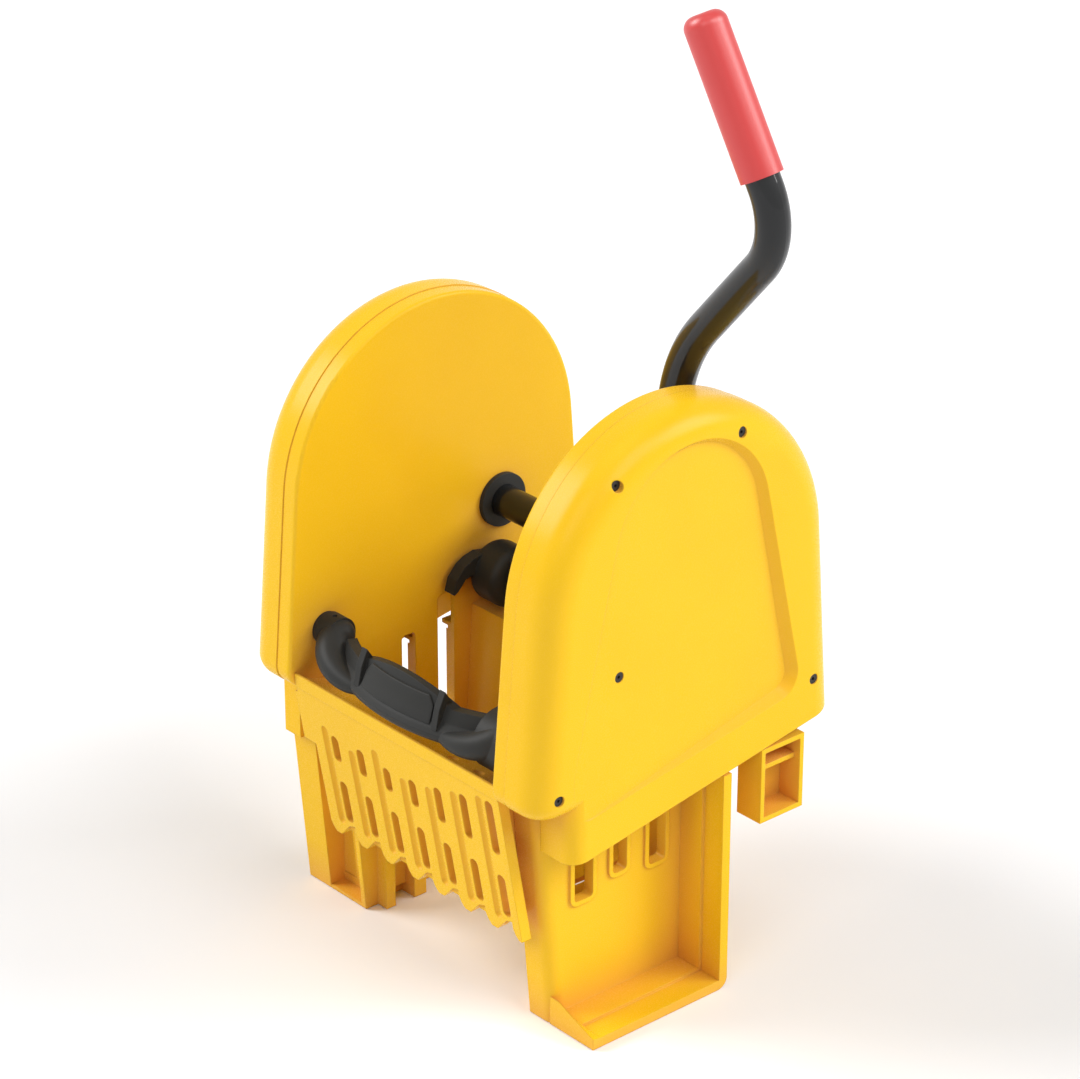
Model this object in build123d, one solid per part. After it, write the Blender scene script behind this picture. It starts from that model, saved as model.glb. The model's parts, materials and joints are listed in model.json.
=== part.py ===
from build123d import *
import math
import os

# Mop wringer with a down-press lever. Millimetres, +X to the right, +Y to the back, +Z up.
# Working frame: X = 0 on the middle plane, Y = 0 at the front edge of the feet, Z = 0 under the feet.

# Cheek widths
panel_in_x = 117.7
panel_wall = 4.0
seam_x = 132.5
seam_step = 0.7
cover_out_x = 169.0
shell_wall = 3.5
panel_out_x = panel_in_x + panel_wall

# Arch outline of a cheek
arch_mid_y = 94.5
arch_centre_z = 348.5
arch_radius = 138.0
flare_angle = 4.7
cover_round = 24.0
tray_bottom_z = 203.0
corner_round = 16.0
skirt_front_y = -20.0
skirt_base_z = 161.0
skirt_slope = 9.5
skirt_round = 14.0
tab_low_z = 138.3
tab_in_x = 150.0
tab_depth = 12.0

# Recessed panel of a cover
recess_depth = 7.5
recess_tilt = 0.035
recess_start_y = -27.0
recess_mid_y = 92.0
recess_centre_z = 389.0
recess_radius = 75.0
recess_flare = 13.0
recess_low_z = 212.0
recess_round = 20.0
recess_draft = 6.5

# Cover screws: places on the cover (Y, Z)
cover_screw_places = [(21.3, 449.9), (138.0, 458.0), (23.7, 301.1), (218.0, 234.0), (-33.5, 222.0)]
screw_head_radius = 4.0
screw_hole_radius = 4.2
screw_shank_radius = 2.0
screw_fit = 0.1
screw_boss_radius = 6.2
screw_head_depth = 0.5
screw_head_length = 3.0
screw_tip_x = 126.0

# Legs
leg_in_x = 98.0
web_x = 125.5
leg_wall = 5.0
leg_back_y = 135.5
leg_lean = 12.0
leg_lean_z = 134.0
leg_front_round = 11.0
leg_corner_round = 9.0
floor_z = 90.0
floor_wall = 4.0
flange_wall = 8.0
flange_step_x = 149.0
gusset_high_z = 24.0
gusset_low_z = 9.0
gusset_depth = 7.5
back_flange_top_z = 184.0
leg_rib_x = 87.0
leg_rib_places = [(12.0, 21.0), (40.0, 52.0)]
slot_places = [(18.0, 36.0, 100.0, 190.0), (56.0, 69.5, 110.0, 213.0), (92.0, 108.5, 104.0, 236.0)]
slot_round = 3.5
slot_border = 4.0
slot_border_depth = 2.0
strip_in_x = 142.0
leg_shelf_z = 181.0
strip_set_back = 14.0
pocket_floor = 3.0

# Rim hook
hook_front_y = 166.0
hook_back_y = 210.0
hook_low_z = 129.5
hook_in_x = 144.0
hook_wall = 4.0
hook_top_z = 192.0
hook_rib_z = 172.0

# Basket
finger_count = 7
finger_pitch = 30.75
finger_start_x = -106.0
finger_rib = 11.5
finger_end_x = panel_in_x - 0.3
finger_low_z = 78.5
band_low_z = 183.0
band_start_x = -panel_in_x + 0.3
low_band = (158.0, 201.0)
low_band_x = -120.0
flute_radius = 4.4
flute_lift = 1.8
flute_low_z = 90.0
flute_tops = [181.0, 172.0, 186.0, 174.0, 180.0, 190.0, 200.0]
drain_slot_width = 8.5
drain_slot_tops = [176.0, 177.0, 174.0, 177.0, 184.0, 192.0, 200.0]
upper_slot_low_z = 153.0
lower_slot = (96.5, 134.0)
basket_wall = 4.0
front_wall = 9.0
front_half_x = 97.7
basket_half_x = panel_in_x
ridge_y = -49.4
ridge_z = 217.5
front_low_y = -26.6
chute_gap = 0.8
chute_wall = 4.5
chute_in_y = -10.0
chute_lip = 14.0
dimple_places = [(49.0, -31.0), (78.0, -31.0)]
dimple_radius = 5.0
rear_low_y = 118.0
rear_top_y = 127.0
rear_top_below = 30.0
rear_chute_y = 222.0
rear_chute_below = 23.0
rear_rim_wall = 4.0
floor_slot_length = 40.0

# Cross shaft and bushes
shaft_y = 157.0
shaft_z = 300.4
shaft_radius = 12.7
shaft_bore_radius = 10.2
shaft_end_x = 147.0
run_gap = 0.05
bush_wall = 2.8
bush_flange_radius = 22.0
bush_flange = 4.0
bush_proud = 2.0
bush_end_x = panel_out_x + bush_proud
collar_length = 10.0
collar_radius = 19.0

# Lever, drawn in the plane of the shaft axis and a line leaning forward
lever_lean = 5.14
lever_x = 89.5
tube_radius = 12.7
tube_wall = 1.8
bend_low = (lever_x, 183.7)
bend_high = (215.0, 320.1)
lever_top = (141.8, 466.4)
bend_low_radius = 150.0
bend_high_radius = 57.0
tube_foot = 18.0
hub_radius = 20.0
hub_half = 16.0
socket_radius = 17.0
socket_top = 62.0
grip_radius = 15.7
grip_length = 118.0
grip_end_wall = 6.0
bolt_radius = 3.0
bolt_head_radius = 5.5
bolt_head = 4.0

# Rear press
rear_bar_ahead = 16.0
rear_bar_drop = 51.4
rear_bar_y = shaft_y - rear_bar_ahead
rear_bar_z = shaft_z - rear_bar_drop
rear_top_z = rear_bar_z - rear_top_below
rear_chute_z = rear_bar_z - rear_chute_below
rear_bar_half_x = 99.0
rear_lobe_left_x = 112.0
rear_bar_height = 46.0
lobe_radius = 24.8
lobe_length = 34.0
lobe_round = 9.0
wing_low_x = -113.0
wing_high_x = -102.0
wing_round = 1.2
rear_bar_depth = 15.0
rear_bar_round = 5.0
hanger_x = 45.0
hanger_half = 9.0
hanger_ring = 20.0

# Front press
pivot_y = -17.6
pivot_z = 246.0
pivot_radius = 8.0
bow_radius = 190.0
bow_top_z = 263.0
pad_side_z = 254.0
swing_radius = 40.4
bow_front_y = -54.0
bow_half_x = 90.0
left_hub_radius = 14.0
right_hub_radius = 15.0
right_lobe_radius = 24.0
right_lobe_drop = 12.0
hub_in_x = 82.0
arm_radius = 13.0
arm_mid_radius = 11.0
arm_tip_radius = 5.5
front_flange_radius = 13.0
front_flange = 3.0
front_bush_wall = 2.0
side_gap = 0.2
hub_out_x = panel_in_x - front_flange - side_gap
pivot_blind_x = 86.0
left_blind_x = 99.0
press_rib_x = 45.0
press_web_x = 66.0
pin_radius = 2.0

# Gears in the right cheek
gear_slack = 1.0117
gear_width = 10.0
gear_backlash = 0.5
pressure_angle = 20.0
drive_teeth = 24
idler_teeth = 27
front_teeth = 16
gear_in_x = bush_end_x
gear_out_x = gear_in_x + gear_width
gear_hub_length = 9.0
idler_turn = 6.0
idler_pin_radius = 6.0
idler_boss_radius = 10.0
idler_pin_root_x = panel_in_x + 1.2
clip_radius = 9.5
clip_width = 1.6
idler_pin_end_x = gear_out_x + 4.0


def outline_prism(points, low_x, high_x, radius=0.0):
    """Prism along X over a closed (Y, Z) outline, with rounded corners when a radius is given."""
    if radius > 0:
        edge = FilletPolyline(*points, radius=radius, close=True)
    else:
        edge = Polyline(*points, close=True)
    face = Plane.YZ.offset(low_x) * make_face(edge)
    return extrude(face, amount=high_x - low_x, dir=(1, 0, 0))


def block(low, high):
    """Box between two corner points."""
    size = [high[i] - low[i] for i in range(3)]
    middle = [(high[i] + low[i]) / 2 for i in range(3)]
    return Pos(*middle) * Box(*size)


def rod(low_x, high_x, y, z, radius):
    """Round bar along X."""
    return Pos((low_x + high_x) / 2, y, z) * Rot(0, 90, 0) * Cylinder(radius, high_x - low_x)


def ring(low_x, high_x, y, z, radius, bore):
    """Round sleeve along X."""
    return rod(low_x, high_x, y, z, radius) - rod(low_x - 1, high_x + 1, y, z, bore)


def upright(x, y, low_z, high_z, radius):
    """Round bar along Z."""
    return Pos(x, y, (low_z + high_z) / 2) * Cylinder(radius, high_z - low_z)


def mirrored(shape):
    """The same shape on the other side of the middle plane."""
    return mirror(shape, about=Plane.YZ)


def one(shape):
    """A single clean solid out of a boolean result."""
    solids = sorted(shape.solids(), key=lambda solid: -solid.volume)
    return solids[0]


def group(shapes):
    """Separate solids kept together as one node."""
    return Compound([one(shape) for shape in shapes])


# Arch outlines
flare = math.radians(flare_angle)


def arch_face(inset, low_z):
    """Arch outline in (Y, Z), inset from the outside and closed at a level."""
    radius = arch_radius - inset
    dy = radius * math.cos(flare)
    dz = radius * math.sin(flare)
    drop = arch_centre_z + dz - low_z
    foot = dy + drop * math.tan(flare)
    start = (arch_mid_y - foot, low_z)
    left = (arch_mid_y - dy, arch_centre_z + dz)
    top = (arch_mid_y, arch_centre_z + radius)
    right = (arch_mid_y + dy, arch_centre_z + dz)
    end = (arch_mid_y + foot, low_z)
    edges = [Line(start, left), ThreePointArc(left, top, right), Line(right, end), Line(end, start)]
    return make_face(edges)


def skirt_line(y, inset):
    """Height of the slanted lower edge of a cover."""
    slope = math.radians(skirt_slope)
    return skirt_base_z + (y - skirt_front_y) * math.tan(slope) + inset / math.cos(slope)


def cheek_body(inset, drop=0.0):
    """Solid body of a right cover, inset from the outside and carried down by a drop."""
    out_x = cover_out_x - inset
    deep_z = 120.0
    body = extrude(Plane.YZ.offset(seam_x) * arch_face(inset, deep_z), amount=out_x - seam_x, dir=(1, 0, 0))
    rim = [edge for edge in body.edges()
           if abs(edge.center().X - out_x) < 0.01 and edge.center().Z > deep_z + 1]
    body = fillet(rim, cover_round - inset)
    far = 500.0
    under = [(-far, skirt_line(-far, -drop)), (far, skirt_line(far, -drop)), (far, -far), (-far, -far)]
    body = body - outline_prism(under, seam_x - 1, cover_out_x + 1)
    notch = block((seam_x - 1, -200, 0), (cover_out_x + 1, skirt_front_y + inset, tray_bottom_z + inset))
    body = one(body - notch)
    corner = [
        edge for edge in body.edges()
        if edge.center().Y < skirt_front_y - 20 and abs(edge.center().Z - tray_bottom_z - inset) < 0.01
        and edge.geom_type == GeomType.LINE and abs(edge.tangent_at(0.5).X) > 0.99
    ]
    body = fillet(corner, corner_round - inset)
    front = [
        edge for edge in body.edges()
        if abs(edge.center().Y - skirt_front_y - inset) < 0.01 and abs(edge.tangent_at(0.5).Z) > 0.99
        and abs(edge.center().X - out_x) < 0.5
    ]
    if front:
        body = fillet(front, skirt_round - inset)
    return one(body)


# Covers
recess_angle = math.radians(recess_flare)


def recess_tool():
    """Tapered cutter for the arched panel."""
    faces = []
    for inset, x in ((0.0, cover_out_x + 0.1), (recess_draft, cover_out_x - recess_depth)):
        radius = recess_radius - inset
        dy = radius * math.cos(recess_angle)
        dz = radius * math.sin(recess_angle)
        slope = math.tan(math.radians(skirt_slope))
        side = math.tan(recess_angle)
        feet = []
        for sign in (-1, 1):
            low = recess_low_z + inset
            drop = (recess_centre_z + dz - low - slope * sign * dy) / (1 + slope * side * sign)
            foot_y = recess_mid_y + sign * (dy + drop * side)
            feet.append((foot_y, low + slope * (foot_y - recess_mid_y)))
        left = (recess_mid_y - dy, recess_centre_z + dz)
        right = (recess_mid_y + dy, recess_centre_z + dz)
        top = (recess_mid_y, recess_centre_z + radius)
        edges = [Line(feet[0], left), ThreePointArc(left, top, right), Line(right, feet[1]),
                 Line(feet[1], feet[0])]
        face = make_face(edges)
        corners = [vertex for vertex in face.vertices() if vertex.Y < recess_low_z + 60]
        face = fillet(corners, recess_round - inset)
        faces.append(Plane.YZ.offset(x) * face)
    near_x = cover_out_x - recess_tilt * (skirt_front_y - recess_start_y)
    far_y = arch_mid_y + arch_radius
    far_x = cover_out_x - recess_tilt * (far_y - recess_start_y)
    tilted = Polyline((near_x, skirt_front_y), (far_x, far_y), (cover_out_x + 5, far_y),
                      (cover_out_x + 5, skirt_front_y), close=True)
    return loft(faces) & extrude(make_face(tilted), amount=arch_centre_z + arch_radius)


def screw_seat(plain, y, z):
    """X of the step a screw head sits on, with the head just below the cover's outside all round."""
    faces = []
    for dy, dz in ((1, 0), (-1, 0), (0, 1), (0, -1)):
        probe = rod(seam_x, cover_out_x + 5, y + dy * screw_hole_radius, z + dz * screw_hole_radius, 0.1)
        faces.append((plain & probe).bounding_box().max.X)
    return min(faces) - screw_head_depth - screw_head_length


recess = recess_tool()
plain_cover = cheek_body(0.0) - recess
screw_seats = [(y, z, screw_seat(plain_cover, y, z)) for y, z in cover_screw_places]


def build_cover():
    """Right cover with its recessed panel, screw bosses and screw holes."""
    outer = cheek_body(0.0)
    inner = cheek_body(shell_wall, 4.0)
    backing = one(Pos(-shell_wall, 0, 0) * recess)
    shell = outer - inner
    pad = (backing + Pos(shell_wall, 0, 0) * backing) & outer
    shell = shell + pad
    shell = shell - recess
    for y, z in cover_screw_places:
        shell = shell + (rod(seam_x, cover_out_x, y, z, screw_boss_radius) & outer)
    shell = shell - recess
    for y, z, seat_x in screw_seats:
        shell = shell - rod(seat_x, cover_out_x + 5, y, z, screw_hole_radius)
        shell = shell - rod(seam_x - 1, seat_x + 1, y, z, screw_shank_radius + screw_fit)
    return one(shell)


right_cover = build_cover()
tab_start = (-cover_out_x, skirt_front_y, tab_low_z)
left_tab = block(tab_start, (-tab_in_x, skirt_front_y + shell_wall, tray_bottom_z + 1))
tab_start = (-cover_out_x, skirt_front_y, skirt_base_z + 1)
left_tab = left_tab + block(tab_start, (-tab_in_x, skirt_front_y + tab_depth, tray_bottom_z + 1))
left_cover = one(mirrored(right_cover) + left_tab)


def cover_screw(y, z, seat_x):
    """One cover screw, its head seated on the step of the hole."""
    head = rod(seat_x, seat_x + screw_head_length, y, z, screw_head_radius)
    drive = rod(seat_x + 1.2, seat_x + 5, y, z, 1.3)
    return head + rod(screw_tip_x, seat_x, y, z, screw_shank_radius) - drive


right_cover_screws = group([cover_screw(*place) for place in screw_seats])
left_cover_screws = mirrored(right_cover_screws)

# Gear places, with the module taken from the distance the train has to span
train_span = math.hypot(shaft_y - pivot_y, shaft_z - pivot_z)
gear_module = gear_slack * train_span / (drive_teeth / 2 + 2 * idler_teeth + front_teeth / 2)
drive_pitch = gear_module * drive_teeth / 2
idler_pitch = gear_module * idler_teeth / 2
front_pitch = gear_module * front_teeth / 2
line_angle = math.atan2(shaft_z - pivot_z, shaft_y - pivot_y)
front_idler_angle = line_angle - math.radians(idler_turn)
front_idler_y = pivot_y + (front_pitch + idler_pitch) * math.cos(front_idler_angle)
front_idler_z = pivot_z + (front_pitch + idler_pitch) * math.sin(front_idler_angle)
gap_y = shaft_y - front_idler_y
gap_z = shaft_z - front_idler_z
gap = math.hypot(gap_y, gap_z)
reach = 2 * idler_pitch
along = (gap * gap + reach * reach - (drive_pitch + idler_pitch) ** 2) / (2 * gap)
across = math.sqrt(reach * reach - along * along)
rear_idler_y = front_idler_y + (along * gap_y - across * gap_z) / gap
rear_idler_z = front_idler_z + (along * gap_z + across * gap_y) / gap

# Side frames
lean = leg_lean / leg_lean_z


def leg_front(z):
    """Y of the leaning front face of a leg at a level."""
    return -lean * z


def leg_prism(low_x, high_x, low_z, high_z, front_in=0.0, back_in=0.0):
    """Prism that follows the leaning front of the leg."""
    points = [(leg_front(low_z) + front_in, low_z), (leg_back_y - back_in, low_z),
              (leg_back_y - back_in, high_z), (leg_front(high_z) + front_in, high_z)]
    return outline_prism(points, low_x, high_x)


def build_side_frame(is_left):
    """Side frame drawn on the right side: panel tray, leg, flanges and hook."""
    outline = Plane.YZ.offset(panel_in_x) * arch_face(seam_step, tray_bottom_z)
    tray = extrude(outline, amount=seam_x - panel_in_x, dir=(1, 0, 0))
    corner = [edge for edge in tray.edges()
              if abs(edge.center().Z - tray_bottom_z) < 0.01 and abs(edge.tangent_at(0.5).X) > 0.99]
    tray = fillet(corner, corner_round)
    rim = [edge for edge in tray.edges() if abs(edge.center().X - panel_in_x) < 0.01
           and edge.center().Z > tray_bottom_z + 1]
    tray = fillet(rim, 3.0)
    well = Plane.YZ.offset(panel_out_x) * arch_face(shell_wall, tray_bottom_z + shell_wall)
    well = extrude(well, amount=seam_x, dir=(1, 0, 0))
    corner = [edge for edge in well.edges()
              if abs(edge.center().Z - tray_bottom_z - shell_wall) < 0.01
              and abs(edge.tangent_at(0.5).X) > 0.99]
    well = fillet(corner, corner_round - shell_wall)
    frame = tray - well

    leg_top = tray_bottom_z + shell_wall
    set_back = strip_set_back if is_left else 0.0
    leg = leg_prism(leg_in_x, web_x, 0.0, leg_top)
    if not is_left:
        front = [edge for edge in leg.edges()
                 if abs(edge.center().X - web_x) < 0.01 and edge.center().Y < 0 and edge.length > 100]
        leg = fillet(front, leg_front_round)
    rest_z = floor_z - floor_wall
    front_wall_y = set_back + leg_wall
    leg = leg - leg_prism(leg_in_x + leg_wall, web_x - leg_wall, leg_wall, rest_z - floor_wall,
                          front_wall_y, leg_wall)
    leg = leg - leg_prism(0, panel_in_x, rest_z, leg_top + 1, front_wall_y, -1.0)
    leg = leg - leg_prism(0, panel_in_x, leg_shelf_z, leg_top + 1, -50.0, -1.0)
    frame = frame + leg

    for low_y, high_y in leg_rib_places:
        frame = frame + block((leg_rib_x, low_y, 0), (leg_in_x, high_y, rest_z))
    first = leg_rib_places[0]
    second = leg_rib_places[1]
    frame = frame - block((leg_rib_x - 1, first[1], -1), (leg_in_x + leg_wall, second[0], 9.0))
    frame = frame - block((leg_rib_x - 1, second[1], -1), (leg_in_x + leg_wall, leg_back_y - 25, 16.0))

    root_x = web_x - 1
    flange = block((root_x, 0, 0), (cover_out_x, leg_back_y, flange_wall))
    flange = flange + block((root_x, 0, 0), (flange_step_x, leg_back_y, flange_wall + 2.5))
    flange_top = gusset_high_z if is_left else back_flange_top_z
    flange = flange + block((root_x, leg_back_y - flange_wall, 0), (cover_out_x, leg_back_y, flange_top))
    step_y = leg_back_y - flange_wall - 2.5
    flange = flange + block((root_x, step_y, 0), (flange_step_x, leg_back_y, flange_top))
    if is_left:
        strip_top = skirt_base_z - 3.0
        strip_y = strip_set_back + 6
        points = [(leg_front(0), 0), (strip_y, 0), (strip_y, strip_top), (leg_front(strip_top), strip_top)]
        flange = flange + outline_prism(points, strip_in_x, cover_out_x)
        flange = flange + block((root_x, strip_set_back, 0), (cover_out_x, strip_y, strip_top))
        flange = flange + block((leg_in_x, 0, 0), (cover_out_x, strip_y, pocket_floor))
    else:
        corners = [(root_x - 4, 0), (cover_out_x, 0), (cover_out_x, gusset_low_z),
                   (root_x + 6, gusset_high_z), (root_x - 4, gusset_high_z)]
        low = [(root_x - 4, 0), (cover_out_x, 0), (cover_out_x, flange_wall), (root_x + 6, flange_wall + 2),
               (root_x - 4, flange_wall + 2)]
        gusset = loft([Plane.XZ * make_face(Polyline(*corners, close=True)),
                       Plane.XZ.offset(-gusset_depth) * make_face(Polyline(*low, close=True))], ruled=True)
        flange = flange + gusset
    corner = [edge for edge in flange.edges() if abs(edge.center().Y - leg_back_y) < 0.01
              and abs(edge.center().Z) < 0.01 and abs(edge.tangent_at(0.5).X) > 0.99]
    flange = fillet(corner, leg_corner_round)
    frame = frame + flange
    if is_left:
        top = leg_shelf_z - 6
        pocket = [(-40, pocket_floor), (strip_set_back + leg_front(pocket_floor), pocket_floor),
                  (strip_set_back + leg_front(top), top), (-40, top)]
        frame = frame - outline_prism(pocket, leg_in_x + leg_wall, strip_in_x)

    hook = block((hook_in_x, hook_front_y, hook_low_z), (cover_out_x, hook_back_y, hook_top_z))
    link = (panel_in_x + 1, hook_front_y, hook_top_z - 14)
    hook = hook + block(link, (hook_in_x, hook_back_y, hook_top_z))
    hook = hook + block(link, (seam_x, hook_back_y, tray_bottom_z + 1))
    pocket = block((hook_in_x + hook_wall, hook_front_y + hook_wall, hook_low_z + hook_wall),
                   (cover_out_x + 1, hook_back_y - hook_wall, hook_top_z - hook_wall))
    rib = block((hook_in_x, hook_front_y, hook_rib_z - 2), (cover_out_x - 6, hook_back_y, hook_rib_z + 2))
    frame = frame + (hook - pocket + rib)

    for low_y, high_y, low_z, high_z in slot_places:
        through_z = min(high_z, tray_bottom_z - 6)
        middle = ((low_y + high_y) / 2, (low_z + through_z) / 2)
        width = high_y - low_y
        height = through_z - low_z
        border_face = Pos(*middle) * RectangleRounded(
            width + 2 * slot_border, height + 2 * slot_border, slot_round + slot_border)
        border = extrude(Plane.YZ.offset(web_x) * border_face, amount=slot_border_depth, dir=(1, 0, 0))
        frame = frame + border
        through = extrude(Plane.YZ.offset(panel_in_x - 5) * (Pos(*middle) * RectangleRounded(
            width, height, slot_round)), amount=30, dir=(1, 0, 0))
        frame = frame - through
        middle = ((low_y + high_y) / 2, (low_z + high_z) / 2)
        inside = extrude(Plane.YZ.offset(panel_in_x - 5) * (Pos(*middle) * RectangleRounded(
            width, high_z - low_z, slot_round)), amount=seam_x - panel_in_x + 5, dir=(1, 0, 0))
        frame = frame - inside

    for y, z in cover_screw_places:
        frame = frame + rod(panel_out_x - 1, seam_x, y, z, screw_boss_radius)
        frame = frame - rod(screw_tip_x, seam_x + 1, y, z, screw_shank_radius + screw_fit)

    shaft_hole = shaft_radius + run_gap + bush_wall + run_gap
    frame = frame - rod(panel_in_x - 1, panel_out_x + 1, shaft_y, shaft_z, shaft_hole)
    pivot_hole = pivot_radius + run_gap + front_bush_wall + run_gap
    frame = frame - rod(panel_in_x - 1, panel_out_x + 1, pivot_y, pivot_z, pivot_hole)
    if not is_left:
        for y, z in ((rear_idler_y, rear_idler_z), (front_idler_y, front_idler_z)):
            frame = frame + rod(panel_out_x - 1, gear_in_x, y, z, idler_boss_radius)
            frame = frame - rod(idler_pin_root_x, gear_in_x + 1, y, z, idler_pin_radius + screw_fit)
    for y in basket_screw_ys:
        frame = frame - upright(basket_screw_x, y, rest_z - floor_wall - 1, rest_z + 1,
                                screw_shank_radius + screw_fit)
    return one(frame)


basket_screw_x = 108.0
basket_screw_ys = [22.0, 66.0, 108.0]
right_side_frame = build_side_frame(False)
left_side_frame = mirrored(build_side_frame(True))


# Basket
def build_basket():
    """Basket between the side frames."""
    slope = (front_low_y - ridge_y) / (ridge_z - floor_z)
    low_z = floor_z - floor_wall

    def front_at(z):
        return ridge_y + slope * (ridge_z - z)

    def on_front(x, z):
        return Plane(origin=(x, front_at(z), z), x_dir=(1, 0, 0), z_dir=(0, -1, -slope))

    wall = [(ridge_y, ridge_z), (front_at(finger_low_z), finger_low_z),
            (front_at(finger_low_z) + front_wall, finger_low_z), (ridge_y + front_wall, ridge_z)]
    body = outline_prism(wall, finger_start_x, finger_end_x)
    band = [(ridge_y, ridge_z), (front_at(band_low_z), band_low_z),
            (front_at(band_low_z) + front_wall, band_low_z), (ridge_y + front_wall, ridge_z)]
    body = body + outline_prism(band, band_start_x, finger_start_x + 1)
    band = [(front_at(low_band[1]), low_band[1]), (front_at(low_band[0]), low_band[0]),
            (front_at(low_band[0]) + front_wall, low_band[0]),
            (front_at(low_band[1]) + front_wall, low_band[1])]
    body = body + outline_prism(band, low_band_x, finger_start_x + 1)
    stretch = math.hypot(1.0, slope)
    for index in range(finger_count + 1):
        left = finger_start_x + index * finger_pitch
        right = min(left + finger_pitch, finger_end_x)
        rib_end = left + finger_rib
        next_left = left + finger_pitch
        ends = [(left, 60), (left, finger_low_z + 9), (left + 1.5, finger_low_z + 4.5),
                (left + 5, finger_low_z), (rib_end, finger_low_z), (left + 24, finger_low_z + 13),
                (next_left, finger_low_z + 15), (next_left, 60)]
        body = body - extrude(Plane.XZ * make_face(Polyline(*ends, close=True)), amount=80, both=True)
        if index == finger_count:
            break
        top_z = flute_tops[index]
        middle_z = (flute_low_z + top_z) / 2
        length = (top_z - flute_low_z) * stretch - 2 * flute_radius
        flute_x = rib_end + math.sqrt(flute_radius ** 2 - flute_lift ** 2)
        axis_plane = on_front(flute_x, middle_z).offset(flute_lift)
        flute = axis_plane * (Rot(90, 0, 0) * Cylinder(flute_radius, length))
        for end in (-1, 1):
            flute = flute + axis_plane * (Pos(0, end * length / 2, 0) * Sphere(flute_radius))
        body = body - flute
        slot_x = right - drain_slot_width / 2
        for low, high in (lower_slot, (upper_slot_low_z, drain_slot_tops[index])):
            face = SlotOverall((high - low) * stretch, drain_slot_width, rotation=90)
            body = body - extrude(on_front(slot_x, (low + high) / 2) * face, amount=20, both=True)

    body = body + block((-front_half_x, front_at(low_z) + 2, low_z), (front_half_x, 10.0, floor_z))
    inner_front = leg_front(low_z) + leg_wall + side_gap
    left_front = strip_set_back + inner_front
    body = body + block((-basket_half_x, left_front, low_z), (0, rear_low_y + basket_wall, floor_z))
    body = body + block((0, inner_front, low_z), (basket_half_x, rear_low_y + basket_wall, floor_z))
    rear = [(rear_low_y, low_z), (rear_low_y + basket_wall, low_z), (rear_top_y + basket_wall, rear_top_z),
            (rear_top_y, rear_top_z)]
    body = body + outline_prism(rear, -basket_half_x, basket_half_x)

    cradle = swing_radius + chute_gap
    lip_z = pivot_z - math.sqrt(cradle ** 2 - (chute_in_y - pivot_y) ** 2)
    shell = [(ridge_y, ridge_z), (ridge_y + 1.5, ridge_z - 12), (pivot_y - 18, lip_z - 1),
             (chute_in_y - 4, lip_z - chute_wall), (chute_in_y - 4, lip_z - chute_lip),
             (chute_in_y, lip_z - chute_lip), (chute_in_y, pivot_z), (ridge_y + 2.5, pivot_z),
             (ridge_y + 2.5, ridge_z)]
    chute = outline_prism(shell, -basket_half_x, basket_half_x)
    body = body + (chute - block((-basket_half_x - 1, ridge_y - 10, 0), (band_start_x, ridge_y + 12, 400)))
    body = body - rod(-basket_half_x - 1, basket_half_x + 1, pivot_y, pivot_z, cradle)
    for x, y in dimple_places:
        z = pivot_z - math.sqrt(cradle ** 2 - (y - pivot_y) ** 2)
        body = body - Pos(x, y, z + dimple_radius / 2) * Sphere(dimple_radius)
    back = [(rear_top_y, rear_top_z - 8), (rear_top_y, rear_top_z), (rear_chute_y, rear_chute_z),
            (rear_chute_y + rear_rim_wall, rear_chute_z), (rear_chute_y + rear_rim_wall, rear_chute_z - 14),
            (rear_chute_y, rear_chute_z - 14), (rear_chute_y, rear_chute_z - 5),
            (rear_top_y + basket_wall, rear_top_z - 5)]
    body = body + outline_prism(back, -basket_half_x, basket_half_x)
    for sign in (-1, 1):
        back_y = leg_wall - 1 + (strip_set_back if sign < 0 else 0.0)
        top_z = lip_z - chute_lip + 4
        side = [(front_at(top_z) + 2, top_z), (front_at(low_z) + 2, low_z),
                (leg_front(low_z) + back_y, low_z), (leg_front(top_z) + back_y, top_z)]
        low_x = min(sign * front_half_x, sign * (front_half_x - basket_wall))
        body = body + outline_prism(side, low_x, low_x + basket_wall)
    for index in range(finger_count):
        x = (index - (finger_count - 1) / 2) * finger_pitch
        for y in (32.0, 76.0):
            slot = Pos(x, y + floor_slot_length / 2 - 8, floor_z) * extrude(
                SlotOverall(floor_slot_length, drain_slot_width - 2, rotation=90), amount=10, both=True)
            body = body - slot
        if index in (0, finger_count - 1):
            continue
        for z in (122.0, 160.0):
            slot = Pos(x, rear_low_y + 5, z) * Rot(90, 0, 0) * extrude(
                SlotOverall(28.0, drain_slot_width, rotation=90), amount=16, both=True)
            body = body - slot
    for sign in (-1, 1):
        for y in basket_screw_ys:
            body = body - upright(sign * basket_screw_x, y, low_z - 1, floor_z + 1,
                                  screw_shank_radius + screw_fit)
    return one(body)


basket = build_basket()


def floor_screw(x, y):
    """One floor screw, its head on the basket floor."""
    head = upright(x, y, floor_z, floor_z + 2.6, 4.0) - upright(x, y, floor_z + 1.2, floor_z + 4, 1.4)
    return head + upright(x, y, floor_z - floor_wall - floor_wall - 6, floor_z, screw_shank_radius)


basket_screws = group([floor_screw(sign * basket_screw_x, y) for sign in (-1, 1) for y in basket_screw_ys])

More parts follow.
